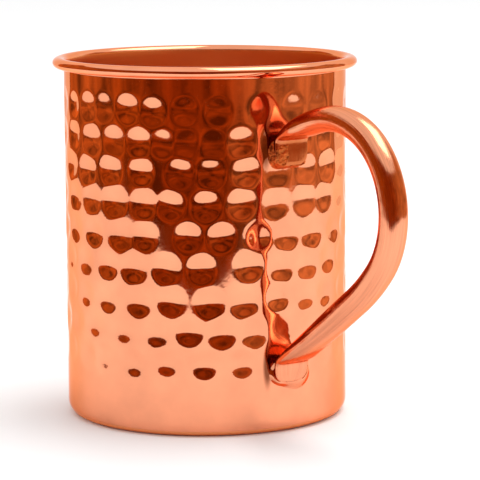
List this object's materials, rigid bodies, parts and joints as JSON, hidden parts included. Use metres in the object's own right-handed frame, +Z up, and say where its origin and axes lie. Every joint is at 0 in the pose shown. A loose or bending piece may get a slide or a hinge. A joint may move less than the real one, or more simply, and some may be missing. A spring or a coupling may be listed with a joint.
{
  "type": "copper mug",
  "caption": "Straight-sided hammered copper drinking mug with a rolled rim and a bent tube ear handle brazed to the wall.",
  "frame": {"origin": "centre of the base, on the cup's axis, in the plane the mug stands on", "axes": "+Z up along the cup's axis, +X towards the handle, whose middle plane is the XZ plane"},
  "size_m": [0.1336, 0.0864, 0.102],
  "materials": {
    "polished_copper": "mirror-polished copper",
    "handle_copper": "polished copper tube",
    "braze_metal": "rough copper braze"
  },
  "bodies": {
    "root": {"cup_body": "polished_copper", "handle": "handle_copper", "upper_braze": "braze_metal", "lower_braze": "braze_metal"}
  },
  "joints": []
}
